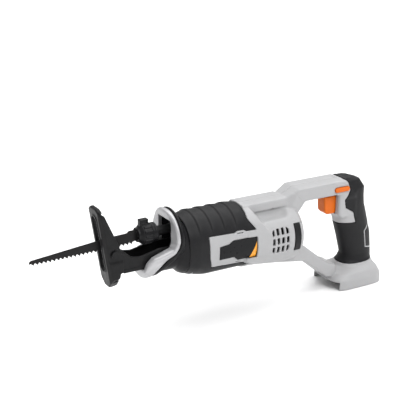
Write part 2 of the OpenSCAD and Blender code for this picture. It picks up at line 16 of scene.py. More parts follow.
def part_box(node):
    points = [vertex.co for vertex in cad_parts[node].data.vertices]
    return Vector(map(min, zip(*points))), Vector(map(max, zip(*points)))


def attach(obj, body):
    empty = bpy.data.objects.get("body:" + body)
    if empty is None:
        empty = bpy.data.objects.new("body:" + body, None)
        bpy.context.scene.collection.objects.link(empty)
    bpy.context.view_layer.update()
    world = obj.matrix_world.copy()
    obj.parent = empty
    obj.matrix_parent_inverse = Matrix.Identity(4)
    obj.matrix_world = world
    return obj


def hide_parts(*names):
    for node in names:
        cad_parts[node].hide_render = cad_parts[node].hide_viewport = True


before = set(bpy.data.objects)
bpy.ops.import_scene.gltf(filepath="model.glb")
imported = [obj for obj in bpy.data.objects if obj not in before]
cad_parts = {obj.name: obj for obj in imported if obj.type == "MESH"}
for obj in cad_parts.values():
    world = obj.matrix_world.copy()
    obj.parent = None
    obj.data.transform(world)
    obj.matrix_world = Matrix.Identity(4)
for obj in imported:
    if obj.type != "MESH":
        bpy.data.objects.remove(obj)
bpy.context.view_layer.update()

MM = 0.001
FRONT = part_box("chuck_sleeve")[0].x / MM
AXIS = sum(corner.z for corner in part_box("chuck_cap")) / 2 / MM
LEFT, RIGHT = -1, 1
SIDES = {"left": LEFT, "right": RIGHT}
FAR = 500.0


def to_row(points):
    """Points in millimetres from the chuck's front face and stroke axis, in metres in the row frame."""
    return (np.asarray(points, float) + (FRONT, 0, AXIS)) * MM


# ---------------------------------------------------------------- materials

def new_material(name):
    material = bpy.data.materials.new(name)
    material.use_nodes = True
    return material, material.node_tree.nodes, material.node_tree.links


def noise(nodes, links, coordinates, scale, detail=3.0, roughness=0.55, stretch=None):
    """A noise texture's factor, in the object's own metres; stretch draws it out along an axis."""
    source = coordinates.outputs["Object"]
    if stretch:
        mapping = nodes.new("ShaderNodeMapping")
        mapping.inputs["Scale"].default_value = stretch
        links.new(source, mapping.inputs["Vector"])
        source = mapping.outputs["Vector"]
    texture = nodes.new("ShaderNodeTexNoise")
    texture.inputs["Scale"].default_value = scale
    texture.inputs["Detail"].default_value = detail
    texture.inputs["Roughness"].default_value = roughness
    links.new(source, texture.inputs["Vector"])
    return texture.outputs["Fac"]


def ramp(nodes, links, factor, stops):
    """A colour or grey ramp through stops of (position, colour)."""
    node = nodes.new("ShaderNodeValToRGB")
    elements = node.color_ramp.elements
    while len(elements) < len(stops):
        elements.new(0.5)
    for element, (position, colour) in zip(elements, stops):
        element.position = position
        element.color = (*colour, 1)
    links.new(factor, node.inputs["Fac"])
    return node.outputs["Color"]


def grey(value):
    return (value,) * 3


def shaded(colour, amount):
    return tuple(min(1.0, channel * amount) for channel in colour)


def surface(name, colour, *, rough=0.5, rough_swing=0.06, metal=0.0, specular=0.5, mottle=0.06,
            mottle_scale=60, grain_scale=1400, grain_depth=0.02, edge_wear_and_highlight=0.0, edge_wear_and_highlight_colour=None,
            stretch=None, coat=0.0):
    """A moulded or metal finish: mottled colour, uneven roughness, fine grain, and convex edges painted
    lighter, partly as wear and partly as a painted highlight.
    """
    material, nodes, links = new_material(name)
    shader = nodes["Principled BSDF"]
    shader.inputs["Metallic"].default_value = metal
    shader.inputs["Specular IOR Level"].default_value = specular
    shader.inputs["Coat Weight"].default_value = coat
    coordinates = nodes.new("ShaderNodeTexCoord")
    cloud = noise(nodes, links, coordinates, mottle_scale, stretch=stretch)
    tint = ramp(nodes, links, cloud, [(0.3, shaded(colour, 1 - mottle)), (0.7, shaded(colour, 1 + mottle))])
    if edge_wear_and_highlight:
        # convex edges painted lighter and broken up by scuff noise: partly edge wear, partly a painted
        # highlight along the edges
        geometry = nodes.new("ShaderNodeNewGeometry")
        edge = ramp(nodes, links, geometry.outputs["Pointiness"], [(0.52, grey(0)), (0.62, grey(1))])
        scratches = noise(nodes, links, coordinates, 260)
        scuffs = ramp(nodes, links, scratches, [(0.42, grey(0)), (0.62, grey(1))])
        worn_and_lit_edges = nodes.new("ShaderNodeMix")
        worn_and_lit_edges.data_type = "RGBA"
        worn_and_lit_edges.blend_type = "MULTIPLY"
        worn_and_lit_edges.inputs["Factor"].default_value = 1.0
        links.new(edge, worn_and_lit_edges.inputs["A"])
        links.new(scuffs, worn_and_lit_edges.inputs["B"])
        fade = ramp(nodes, links, worn_and_lit_edges.outputs["Result"], [(0.0, grey(0)), (1.0, grey(edge_wear_and_highlight))])
        blend = nodes.new("ShaderNodeMix")
        blend.data_type = "RGBA"
        links.new(fade, blend.inputs["Factor"])
        links.new(tint, blend.inputs["A"])
        blend.inputs["B"].default_value = (*(edge_wear_and_highlight_colour or shaded(colour, 2.2)), 1)
        tint = blend.outputs["Result"]
    links.new(tint, shader.inputs["Base Color"])
    patches = noise(nodes, links, coordinates, mottle_scale * 2.3, stretch=stretch)
    gloss = ramp(nodes, links, patches,
                 [(0.25, grey(rough - rough_swing)), (0.75, grey(rough + rough_swing))])
    links.new(gloss, shader.inputs["Roughness"])
    bump = nodes.new("ShaderNodeBump")
    bump.inputs["Strength"].default_value = 1.0
    bump.inputs["Distance"].default_value = grain_depth * MM
    grain = noise(nodes, links, coordinates, grain_scale, detail=2.0, stretch=stretch)
    links.new(grain, bump.inputs["Height"])
    links.new(bump.outputs["Normal"], shader.inputs["Normal"])
    return material


def clear_plastic(name):
    material = surface(name, (0.9, 0.93, 0.96), rough=0.12, rough_swing=0.04, mottle=0.02, grain_scale=500)
    material.node_tree.nodes["Principled BSDF"].inputs["Transmission Weight"].default_value = 0.85
    return material


CASING_GREY = (0.36, 0.36, 0.366)
RUBBER = (0.0085, 0.0085, 0.0095)
STEEL = (0.62, 0.62, 0.63)
ORANGE = (0.62, 0.125, 0.008)

MATERIALS = {
    "casing_grey": surface("casing_grey", CASING_GREY, rough=0.46, mottle=0.025, grain_scale=1500,
                           grain_depth=0.035, specular=0.42),
    "rubber_black": surface("rubber_black", RUBBER, rough=0.5, mottle=0.12, grain_scale=1900,
                            grain_depth=0.05, specular=0.2, edge_wear_and_highlight=0.06),
    "seal_rubber": surface("seal_rubber", (0.02, 0.02, 0.021), rough=0.7, mottle=0.1),
    "badge_black": surface("badge_black", (0.010, 0.010, 0.011), rough=0.3, specular=0.12, mottle=0.08,
                           grain_scale=2600, grain_depth=0.008),
    "badge_orange": surface("badge_orange", (0.88, 0.36, 0.03), rough=0.35, mottle=0.04,
                            grain_scale=2600, grain_depth=0.008),
    "accent_grey": surface("accent_grey", (0.42, 0.42, 0.43), rough=0.45, mottle=0.03),
    "collar_silver": surface("collar_silver", (0.43, 0.43, 0.44), metal=0.3, rough=0.36, rough_swing=0.04,
                             mottle=0.02, grain_scale=2200, grain_depth=0.012, specular=0.6),
    "plastic_black": surface("plastic_black", (0.010, 0.010, 0.011), rough=0.34, specular=0.14, mottle=0.1,
                             grain_depth=0.03, edge_wear_and_highlight=0.08),
    "plastic_orange": surface("plastic_orange", ORANGE, rough=0.42, mottle=0.04, grain_depth=0.02,
                              specular=0.2, edge_wear_and_highlight=0.08, edge_wear_and_highlight_colour=(0.9, 0.34, 0.12)),
    "lens_clear": clear_plastic("lens_clear"),
    "board_green": surface("board_green", (0.02, 0.16, 0.06), rough=0.4, mottle=0.15, mottle_scale=300),
    "cast_aluminium": surface("cast_aluminium", (0.55, 0.56, 0.57), rough=0.5, metal=1.0, mottle=0.08,
                              grain_scale=900, grain_depth=0.08),
    "screw_steel": surface("screw_steel", (0.12, 0.12, 0.125), rough=0.38, metal=1.0, mottle=0.1,
                           edge_wear_and_highlight=0.5, edge_wear_and_highlight_colour=(0.5, 0.5, 0.5)),
    "steel_bright": surface("steel_bright", STEEL, rough=0.24, metal=1.0, mottle=0.05,
                            grain_scale=700, grain_depth=0.01, stretch=(0.15, 4, 4)),
    "spring_steel": surface("spring_steel", (0.4, 0.4, 0.41), rough=0.3, metal=1.0),
    "bronze": surface("bronze", (0.55, 0.33, 0.12), rough=0.45, metal=1.0, mottle=0.12),
    "brass": surface("brass", (0.78, 0.55, 0.2), rough=0.3, metal=1.0, mottle=0.06),
    # its lighter edges are partly wear and partly a painted highlight along the shoe's edges
    "black_steel": surface("black_steel", (0.009, 0.009, 0.0095), rough=0.36, rough_swing=0.08,
                           mottle=0.18, mottle_scale=90, grain_scale=1100, grain_depth=0.05,
                           specular=0.15, edge_wear_and_highlight=0.2, edge_wear_and_highlight_colour=(0.06, 0.06, 0.063)),
    "blade_black": surface("blade_black", (0.010, 0.0095, 0.010), rough=0.42, mottle=0.04, mottle_scale=140,
                           grain_scale=900, grain_depth=0.03, stretch=(0.2, 1, 2.5), specular=0.15,
                           edge_wear_and_highlight=0.08, edge_wear_and_highlight_colour=(0.08, 0.08, 0.08)),
    "gear_steel": surface("gear_steel", (0.3, 0.3, 0.31), rough=0.36, metal=1.0, mottle=0.12, edge_wear_and_highlight=0.4),
    "winding_copper": surface("winding_copper", (0.72, 0.28, 0.1), rough=0.38, metal=1.0, mottle=0.14,
                              mottle_scale=300, grain_scale=800, grain_depth=0.15, stretch=(0.2, 3, 3)),
    "motor_steel": surface("motor_steel", (0.06, 0.06, 0.063), rough=0.42, metal=1.0, mottle=0.08),
    "carbon": surface("carbon", (0.03, 0.03, 0.032), rough=0.6, mottle=0.2),
}


# ---------------------------------------------------------------- signed distances, in millimetres

def step_up(start, end, value):
    """Goes smoothly from 0 at start to 1 at end."""
    t = np.clip((value - start) / (end - start), 0, 1)
    return t * t * (3 - 2 * t)


def join(a, b, fillet=0.0):
    """Union, with a fillet of about that size where they meet."""
    if not fillet:
        return np.minimum(a, b)
    t = np.clip(0.5 + 0.5 * (b - a) / fillet, 0, 1)
    return b * (1 - t) + a * t - fillet * t * (1 - t)


def common(a, b, edge=0.0):
    """Intersection, with its edge rounded by about that size."""
    return -join(-a, -b, edge)


def cut(a, b, edge=0.0):
    """a without b."""
    return common(a, -b, edge)


def slab(value, low, high):
    return np.maximum(low - value, value - high)


def outline(u, v, points):
    """Distance to a closed outline in the plane of u and v."""
    near = np.full(np.broadcast_shapes(u.shape, v.shape), np.inf)
    inside = np.zeros(near.shape, bool)
    for (ax, ay), (bx, by) in zip(points, points[1:] + points[:1]):
        ex, ey = bx - ax, by - ay
        t = np.clip(((u - ax) * ex + (v - ay) * ey) / (ex * ex + ey * ey), 0, 1)
        near = np.minimum(near, (u - ax - ex * t) ** 2 + (v - ay - ey * t) ** 2)
        if ey:
            inside ^= ((ay <= v) != (by <= v)) & (u < ax + (v - ay) * ex / ey)
    return np.where(inside, -1, 1) * np.sqrt(near)


def rounded_bar(u, v, low, high, radius):
    """Distance to an upright box from low to high in the plane of u and v, with round corners."""
    du = np.abs(u - (low[0] + high[0]) / 2) - (high[0] - low[0]) / 2 + radius
    dv = np.abs(v - (low[1] + high[1]) / 2) - (high[1] - low[1]) / 2 + radius
    return np.hypot(np.maximum(du, 0), np.maximum(dv, 0)) + np.minimum(np.maximum(du, dv), 0) - radius


def soften(distance, passes):
    """Rounds every edge and corner by a running average of neighbours."""
    for _ in range(passes):
        for axis in range(distance.ndim):
            if distance.shape[axis] > 2:
                d = np.moveaxis(distance, axis, 0)
                d = np.concatenate([d[:1], (d[:-2] + 2 * d[1:-1] + d[2:]) / 4, d[-1:]])
                distance = np.moveaxis(d, 0, axis)
    return distance


def mesh_object(name, points, faces, material):
    mesh = bpy.data.meshes.new(name)
    mesh.from_pydata([tuple(p) for p in to_row(points)], [], [tuple(f) for f in faces])
    mesh.materials.append(MATERIALS[material])
    mesh.shade_smooth()
    piece = bpy.data.objects.new(name, mesh)
    bpy.context.scene.collection.objects.link(piece)
    return piece


def place(piece, body, slot, *nodes):
    """Rides the piece on its body and hides the CAD nodes it replaces; slot is not used."""
    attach(piece, body)
    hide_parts(*nodes)
    return piece


def moulded(name, low, high, step, shape, material):
    """Meshes where shape(x, y, z) crosses zero inside the box from low to high."""
    margin = 3 * step
    axes = [np.arange(a - margin, b + margin, step) for a, b in zip(low, high)]
    x, y, z = np.meshgrid(*axes, indexing="ij", sparse=True)
    distance = np.clip(np.broadcast_to(shape(x, y, z), [len(a) for a in axes]), -margin, margin)
    grid = openvdb.FloatGrid(margin)
    grid.copyFromArray(np.ascontiguousarray(distance, np.float32))
    points, quads = grid.convertToQuads(0.0)
    return mesh_object(name, points * step + [a[0] for a in axes], quads.tolist(), material)


# ---------------------------------------------------------------- casing, grip and boot

BODY_Z, BODY_FLAT = -25.5, 6      # section of the boot: round top and bottom, short flat sides
MOTOR_Z, BARREL_R = -35.0, 41.0
BOOT_R = 38.0
SCALE_FRONTS = (73, 91, 109, 127)
WALL = 3.0
RUBBER_DEEP = 2.4

# Foot, neck and grip from the bottom up: height, middle X, half length, half width, squareness
COLUMN = [
    (-133, 337, 43, 35, 4.5), (-119, 337, 42.5, 34.5, 4.5), (-111, 339, 38, 31, 3.6),
    (-105, 344.5, 29.5, 23, 2.5), (-98, 347, 26, 19.5, 2.2), (-90, 349, 24, 18, 2.2),
    (-62, 344, 26.7, 18, 2.2), (-38, 337, 27, 18, 2.2), (-26, 334, 26, 18, 2.4), (-16, 334, 22, 18, 2.6),
    (-3, 333, 21, 18, 2.8), (10, 333, 21, 18, 2.8), (22, 327, 19, 16, 2.6), (27, 320, 12, 11, 2.4)]
ARCH = [(206, -30), (206, 12), (221, 19), (236, 26), (316, 26), (330, 0), (312, 0), (309, 6.5),
        (247, 6.5), (226, -18), (226, -30)]
NECK = [(304, 8), (304, -24), (309, -30), (334, -30), (334, 8)]
STRUT = [(200, -60), (236, -60), (243, -54.5), (286, -90), (304, -98), (304, -116), (289, -114),
         (260, -90), (246, -81), (190, -72)]
GRIP = [(309, 40), (310, 29), (318, 23), (322, 11), (314, -3), (316, -15), (329, -23), (334.5, -39.7),
        (306, -39.7), (306, -101.5), (400, -101.5), (400, 40)]
BOOT = [(58, 30), (146, 30), (146, 12), (145.5, 4), (148, 0), (155.5, -10.3), (139, -10.3), (137, -14),
        (137, -56), (148, -57), (146, -63), (146, -80), (58, -80)]
WINDOW = [(84.8, -8), (123, -9.3), (127, -7.4), (136.5, -7.8), (140, -10), (160, -10.4), (160, -56),
          (138, -54), (90.5, -51), (86.2, -37)]
BADGE = [(100, -24), (113.5, -22.4), (120, -18.6), (156, -19.2), (156, -48.2), (128.6, -48),
         (122, -42), (100, -41.8)]
BADGE_CORNER = [(156.5, -24.5), (156.5, -48.7), (145.5, -48.7)]
ACCENT = [(362, -46), (351, -56), (354, -81), (368, -85), (400, -85), (400, -46)]
VENTS = [(178.5, -21), (184.5, -15), (202, -15), (208, -21), (208, -44), (202, -50.5),
         (184.5, -50.5), (178.5, -44)]
VENT_PITCH, VENT_SIZE = (7.5, 12), (4, 9)
TRIGGER = [(285, 3), (286.5, -19), (291, -23.4), (304, -23.4), (306, -20), (306, 3)]
TRIGGER_HALF = 9.0
BUTTON_LOW, BUTTON_HIGH = (295, 10.8), (319, 17.2)
PLUNGER_ROOM_R, PLUNGER_ROOM_END = 7.2, 165.2
SCREWS = [(178, 8), (224, 8), (258, 16), (282, 16), (262, -83), (150, -68), (312, -112), (368, -112)]


def button_bar(x, z, grow, radius):
    """The lock-off button from the side, or the slot that it slides in."""
    return rounded_bar(x, z, [low - grow for low in BUTTON_LOW], [high + grow for high in BUTTON_HIGH],
                       radius)


def section(y, z):
    """Distance from the middle of the boot's section."""
    return np.hypot(y, np.maximum(np.abs(z - BODY_Z) - BODY_FLAT, 0))


def column(x, y, z):
    heights, middles, lengths, widths, powers = (np.array(c, float) for c in zip(*COLUMN))
    dx = np.abs(x - np.interp(z, heights, middles))
    dy = np.abs(y)
    power = np.interp(z, heights, powers)
    stretch = ((dx / np.interp(z, heights, lengths)) ** power
               + (dy / np.interp(z, heights, widths)) ** power) ** (1 / power)
    radius = np.hypot(dx, dy)
    side = radius - radius / np.maximum(stretch, 1e-3)
    return np.maximum(side, slab(z, heights[0], heights[-1]))


def barrel(x, y, z):
    radius = np.hypot(y, z - MOTOR_Z)
    rear_cone = 0.581 * (x - 226) + 0.814 * (radius - BARREL_R)
    # the underside runs down from the boot's depth to the barrel's
    raised = 6.0 * (1 - step_up(142, 205, x)) * step_up(-48, -70, z)
    tube = np.maximum(np.maximum(radius - BARREL_R + raised, rear_cone), slab(x, 142.4, 233))
    # scoops under the rail
    along = np.maximum(np.abs(x - 187.5) - 16, 0)
    scoop = np.sqrt(along ** 2 + (np.abs(y) - 24) ** 2 + (z - 4.5) ** 2) - 10.5
    return cut(tube, scoop, 4)


def casing_outside(x, y, z):
    """Outer skin of the casing and of the rubber over it."""
    shoulder = np.maximum(section(y, z) - BOOT_R - 0.4,
                          np.maximum(142.4 - x, 0.857 * (x - 161 + 0.6 * (z - 4.5))))
    rail = common(np.maximum(rounded_bar(y, z, (-17, 4.4), (17, 17.5), 2.5), slab(x, 146, 216)),
                  slab(z, -40, 17.5))
    web = np.maximum(np.abs(y) - 5, np.maximum(slab(x, 150, 214), slab(z, -12, 10)))
    # the leg's flat side is bounded by a crease, in front of which the arch narrows
    before_crease = np.maximum(-0.850 * (x - 231) + 0.528 * (z - 17), 0)
    arch_half = 19 - 0.42 * np.minimum(before_crease, 14)
    arch = common(soften(outline(x, z, ARCH), 2), np.abs(y) - arch_half, 3)
    neck = common(outline(x, z, NECK), np.abs(y) - 18, 5)
    strut = common(outline(x, z, STRUT), np.abs(y) - 17, 2)
    body = join(barrel(x, y, z), shoulder, 6)
    body = join(join(body, np.minimum(rail, web), 0.8), arch, 1)
    handle = join(column(x, y, z), neck, 3)
    return soften(join(join(body, join(arch, handle, 4)), strut, 1), 1)


def bumper(x, y, z, grow):
    """The rubber band round the rear of the barrel, on each side."""
    return np.maximum(slab(x, 215.5 - grow, 225 + grow),
                      np.maximum(slab(z, -51 - grow, -14 + grow), 20 - np.abs(y)))


def vents(x, y, z):
    """Three rows of four slots, cut off at the corners by the outline VENTS."""
    slots = np.full(np.broadcast_shapes(x.shape, z.shape), FAR)
    for column_number in range(4):
        for row in range(3):
            left, low = 179.5 + VENT_PITCH[0] * column_number, -25 - VENT_PITCH[1] * row
            slots = np.minimum(slots, rounded_bar(x, z, (left, low),
                                                  (left + VENT_SIZE[0], low + VENT_SIZE[1]), 1))
    return np.maximum(np.maximum(slots, outline(x, z, VENTS)), 15 - np.abs(y))


def casing_half(side):
    def shape(x, y, z):
        outside = casing_outside(x, y, z)
        grip = soften(outline(x, z, GRIP), 2)
        half = cut(outside, np.maximum(grip - 0.25, -(outside + RUBBER_DEEP)), 0.4)
        # the tongue round the badge, which the boot is moulded about
        sleeve = section(y, z)
        tongue = np.maximum(np.maximum(sleeve - BOOT_R - 0.4, 34.8 - sleeve),
                            np.maximum(outline(x, z, WINDOW), x - 150))
        half = join(cut(half, outline(x, z, BOOT) - 0.25, 0.6), tongue)
        half = cut(half, outside + WALL + RUBBER_DEEP * step_up(1, -1, grip))
        half = cut(half, np.maximum(outline(x, z, BADGE) - 0.25, BOOT_R - 0.6 - sleeve))
        radius = np.hypot(y, z - MOTOR_Z)
        half = cut(half, np.maximum(bumper(x, y, z, 0.3), BARREL_R - 1.6 - radius), 0.4)
        half = cut(half, vents(x, y, z), 0.5)
        # room for the rear end of the plunger
        half = cut(half, np.maximum(np.hypot(y, z) - PLUNGER_ROOM_R, slab(x, 130, PLUNGER_ROOM_END)))
        # slots over and under the badge, the mark by the band, the leg's parting line, the rail's notch
        slots = np.minimum(rounded_bar(x, z, (126, -11.2), (136, -9.8), 0.6),
                           rounded_bar(x, z, (126, -52), (135, -51), 0.4))
        half = cut(half, np.maximum(slots, BOOT_R - 2.2 - sleeve))
        mark = outline(x, z, [(227, -16.5), (229.5, -13), (230.5, -16.5)])
        half = cut(half, np.maximum(mark, 32 - radius))
        parting = np.abs(0.743 * (x - 238.5) + 0.669 * (z - 10.5)) - 0.25
        half = cut(half, np.maximum(np.maximum(parting, -(outside + 0.5)), slab(x, 228, 248)), 0.3)
        half = cut(half, np.maximum(slab(x, 191.5, 196.5), np.maximum(slab(z, 2.4, 6), 12 - np.abs(y))))
        # battery dock, trigger, lock-off button
        half = cut(half, np.maximum(np.maximum(slab(x, 270, 372), np.abs(y) - 30), z + 121), 1)
        half = cut(half, np.maximum(rounded_bar(x, z, (270, -24), (318, 3.3), 1),
                                    np.abs(y) - TRIGGER_HALF - 0.4), 0.5)
        half = cut(half, button_bar(x, z, 0.3, 3) + 0 * y, 0.6)
        if side == RIGHT:
            for sx, sz in SCREWS:
                seat = 11 if sz > 0 else 9
                half = cut(half, np.maximum(np.hypot(x - sx, z - sz) - 3.4, seat - y), 0.4)
        return common(half, 0.1 - side * y, 0.5)
    return shape


def grip_rubber(x, y, z):
    outside = casing_outside(x, y, z)
    grip = soften(outline(x, z, GRIP), 2)
    skin = common(common(outside, grip, 1.2), -(outside + RUBBER_DEEP - 0.1))
    ring = np.maximum(outline(x, z, ACCENT), -(outline(x, z, ACCENT) + 1.6))
    skin = cut(skin, np.maximum(np.maximum(ring - 0.2, 4 - np.abs(y)), -(outside + 1.6)), 0.3)
    return cut(skin, button_bar(x, z, 0.5, 3.1) + 0 * y, 0.6)


def accent_line(side):
    def shape(x, y, z):
        outside = casing_outside(x, y, z)
        edge = outline(x, z, ACCENT)
        ring = np.maximum(edge, -(edge + 1.6))
        band = common(ring, outside - 0.15, 0.4)
        return np.maximum(np.maximum(band, -(outside + 1.5)), 4 - side * y)
    return shape


def boot_radius(x, z):
    """Outer radius of the boot: drawn in at the nose, with four overlapping scales over the top."""
    neck = -2.6 * (1 - step_up(58, 73, x)) - 5 * (1 - step_up(58, 92, x)) * step_up(-42, -66, z)
    scales = 0
    for front in SCALE_FRONTS:
        inside = step_up(front - 0.8, front + 1.0, x) * (1 - step_up(front + 1.5, front + 17.5, x))
        scales = scales + 1.3 * inside
    return BOOT_R + neck + scales * step_up(-9, 5, z) - 1.0 * step_up(138, 150, x) * step_up(-9, 5, z)


def boot(x, y, z):
    outside = section(y, z) - boot_radius(x, z)
    sleeve = common(outside, outline(x, z, BOOT), 1.2)
    sleeve = cut(sleeve, outside + WALL)
    sleeve = cut(sleeve, outline(x, z, WINDOW) - 0.2, 0.8)
    # a short groove in front of the window
    return cut(sleeve, np.maximum(np.hypot(z + 7.3, outside) - 0.35, slab(x, 71, 84)))


def badge(side, corner):
    def shape(x, y, z):
        sleeve = section(y, z)
        plate = np.maximum(sleeve - BOOT_R - 0.8, BOOT_R - 0.5 - sleeve)
        black, orange = outline(x, z, BADGE), outline(x, z, BADGE_CORNER)
        edge = np.maximum(black, orange + 0.15) if corner else np.maximum(black, -orange)
        return np.maximum(common(plate, edge, 0.4), 5 - side * y)
    return shape


def band(side):
    def shape(x, y, z):
        radius = np.hypot(y, z - MOTOR_Z)
        layer = np.maximum(radius - BARREL_R - 0.5, BARREL_R - 1.5 - radius)
        return np.maximum(common(layer, bumper(x, y, z, 0), 0.8), -side * y)
    return shape


CASING_LOW, CASING_HIGH = (82, -42, -134), (381, 42, 30)
for hand, side in SIDES.items():
    low = (CASING_LOW[0], -42 if side == LEFT else -1, CASING_LOW[2])
    high = (CASING_HIGH[0], 1 if side == LEFT else 42, CASING_HIGH[2])
    half = moulded(f"casing_{hand}", low, high, 0.9, casing_half(side), "casing_grey")
    place(half, "saw", "casing_grey", f"housing_{hand}", f"side_panel_{hand}")
    y_range = (-42, -20) if side == LEFT else (20, 42)    # the flank that holds the flat pieces
    plate = moulded(f"badge_plate_{hand}", (99, y_range[0], -50), (157, y_range[1], -17), 0.5,
                    badge(side, False), "badge_black")
    place(plate, "saw", "badge_black", f"badge_{hand}")
    triangle = moulded(f"badge_triangle_{hand}", (142, y_range[0], -50), (158, y_range[1], -22), 0.45,
                       badge(side, True), "badge_orange")
    place(triangle, "saw", "badge_orange", f"badge_corner_{hand}")
    strip = moulded(f"bumper_strip_{hand}", (214, y_range[0], -53), (227, y_range[1], -12), 0.5,
                    band(side), "rubber_black")
    place(strip, "saw", "rubber_black", f"bumper_band_{hand}")
    line = moulded(f"grip_line_{hand}", (348, -20 if side == LEFT else 2, -88),
                   (378, -2 if side == LEFT else 20, -43), 0.5, accent_line(side), "accent_grey")
    place(line, "saw", "accent_grey", f"grip_accent_{hand}")

rubber = moulded("handle_rubber", (300, -27, -103), (380, 27, 30), 0.8, grip_rubber, "rubber_black")
place(rubber, "saw", "rubber_black", "handle_grip")
sleeve = moulded("boot_rubber", (57, -41, -73), (154, 41, 22), 0.8, boot, "rubber_black")
place(sleeve, "saw", "rubber_black", "grip_boot")


# ---------------------------------------------------------------- nose collar and its dark rim

NOSE = [(37, 29), (40, 12), (40, -12), (38, -18), (23, -23), (12, -26.5), (4, -34), (0, -45), (3, -60.5),
        (13, -61.5), (19, -46), (26, -38), (35, -31), (43, -26), (46, -16), (46, 29)]
RIM_FRONT = [(46.1, 60), (46.1, -16), (43.1, -26), (35.1, -31.1), (26.1, -38.1), (18.1, -46.1),
             (12.1, -58.1), (6, -72), (6, -120), (120, -120), (120, 60)]
OPENING = ((-16.4, -41.5), (16.4, 15.4))


def nose_section(y, z):
    """A wide round top that tapers to a narrow round chin."""
    t = np.clip((-8 - z) / 25, 0, 1)
    taper = np.hypot(y, z + 8 + 25 * t) - (37 - 11.2 * t)
    return taper * 0.92


def collar(x, y, z):
    side_view = soften(outline(x, z, NOSE), 5)
    band_shape = common(side_view, nose_section(y, z), 6)
    return cut(band_shape, rounded_bar(y, z, *OPENING, 2) + 0 * x, 2)


def rim(x, y, z):
    behind = -outline(x, z, RIM_FRONT)
    blend = step_up(48, 58, x)
    boot_side = section(y, z) - BOOT_R + 2.8 + 4.5 * step_up(-42, -66, z)
    around = (1 - blend) * nose_section(y, z) + blend * boot_side
    lip = 1.0 + 3.2 * step_up(5.0, 8.0, behind) * (1 - blend)
    body = common(common(around + lip, -behind, 1.5), x - 57.8)
    return cut(body, rounded_bar(y, z, *OPENING, 2) + 0 * x, 0.6)


ring = moulded("nose_band", (-2, -38, -63), (48, 38, 31), 0.7, collar, "collar_silver")
place(ring, "saw", "collar_silver", "nose_collar")
flange = moulded("nose_rim", (5, -38, -68), (59, 38, 31), 0.8, rim, "plastic_black")
place(flange, "saw", "plastic_black", "nose_bezel")


# ---------------------------------------------------------------- shoe and its bracket

PIVOT = (-38.0, -13.0)
TILT = math.radians(8.4)         # the face leans by this much
FACE = 11.1                      # from the pivot to the face
SHOE_SIDE = [(-20, 70), (-5, 62), (-4.8, 56), (3.7, 24.7), (8.9, 5.8), (10.7, -9.7), (8.1, -27.5),
             (4, -28.5), (2, -34.2), (1.6, -44), (0, -49), (-20, -60)]
SHOE_FRONT = [(-8, 61.5), (8, 61.5), (13.5, 58.5), (18.5, 52), (18.5, -33), (6, -46.5), (-6, -46.5),
              (-18.5, -33), (-18.5, 52), (-13.5, 58.5)]
SHOE_HALF, SHOE_WALL = 18.4, 2.8
SHOE_PLAN = [(30, -SHOE_HALF), (3.5 - FACE, -SHOE_HALF), (-FACE, -12.7), (-FACE, 12.7),
             (3.5 - FACE, SHOE_HALF), (30, SHOE_HALF)]
CHEEK_RECESS = ((-34.0, -17.0), 11.0)    # middle and radius of its round front
ARM_FLOOR, ARM_HALF, ARM_WALL = -41.0, 15.0, 3.0
BRACKET_SIDE = [(57.8, ARM_FLOOR), (57.8, -18), (25, -18), (12, -21), (-2, -24), (-14, -22), (-25, -12),
                (-34, -8.4), (-41.4, -17.6), (-30, ARM_FLOOR)]


def shoe(x, y, z):
    dx, dz = x - PIVOT[0], z - PIVOT[1]
    u = dx * math.cos(TILT) + dz * math.sin(TILT)
    w = dz * math.cos(TILT) - dx * math.sin(TILT)
    plan = outline(u, y, SHOE_PLAN)
    side_view = soften(outline(u, w, SHOE_SIDE), 3)
    block = common(common(plan, side_view, 1.2), outline(y, w, SHOE_FRONT), 2.5)
    shell = cut(block, np.maximum(np.maximum(plan + SHOE_WALL, side_view - 6), slab(w, -38, 56)), 1)
    slot = rounded_bar(y, w, (-6.1, -24), (6.1, 50), 5.5)
    rim_round_slot = np.maximum(np.abs(slot - 1.2) - 1.2, slab(u, -FACE - 0.9, -FACE + 1))
    shell = join(shell, rim_round_slot, 0.8)
    shell = cut(shell, np.maximum(slot, u + 3), 0.6)
    deep = 1.7 * np.clip((z + 26.5) / 4, 0, 1)
    (rx, rz), reach = CHEEK_RECESS
    recess = np.maximum(np.hypot(np.minimum(x - rx, 0), np.maximum(z - rz, 0)) - reach, -27 - z)
    shell = cut(shell, np.maximum(recess, SHOE_HALF - deep - np.abs(y)), 0.8)
    return cut(shell, np.hypot(dx, dz) - 3.1, 0.4)


def bracket(x, y, z):
    side_view = soften(outline(x, z, BRACKET_SIDE), 14)
    walls = common(side_view, slab(np.abs(y), ARM_HALF - ARM_WALL, ARM_HALF), 1.0)
    floor_plate = np.maximum(np.maximum(slab(x, -24, 57.8), slab(z, ARM_FLOOR, ARM_FLOOR + ARM_WALL)),
                             np.abs(y) - ARM_HALF)
    back = np.maximum(np.maximum(slab(x, 55, 57.8), slab(z, ARM_FLOOR, -21)), np.abs(y) - ARM_HALF)
    from_pivot = np.hypot(x - PIVOT[0], z - PIVOT[1])
    ear = np.maximum(from_pivot - 6, slab(np.abs(y), ARM_HALF - ARM_WALL, ARM_HALF))
    arm = join(join(join(walls, floor_plate, 2.5), back, 2), ear, 1)
    arm = cut(arm, from_pivot - 3.0)
    # screw holes in the back
    return cut(arm, np.maximum(np.hypot(np.abs(y) - 9, z + 27) - 2, 50 - x))


foot_plate = moulded("shoe_plate", (-62, -20, -66), (-22, 20, 52), 0.6, shoe, "black_steel")
place(foot_plate, "shoe", "black_steel", "shoe")
arm = moulded("shoe_arm", (-46, -16, -43), (59, 16, -4), 0.6, bracket, "black_steel")
place(arm, "saw", "black_steel", "shoe_bracket")


# ---------------------------------------------------------------- chuck, blade, trigger, button

CHUCK_R, SLEEVE_END, RIB_TALL = 14.3, 18.4, 1.1
RIBS = 14
CAP_R, CAP_END, PLUNGER_R = 12.5, 26, 6.5


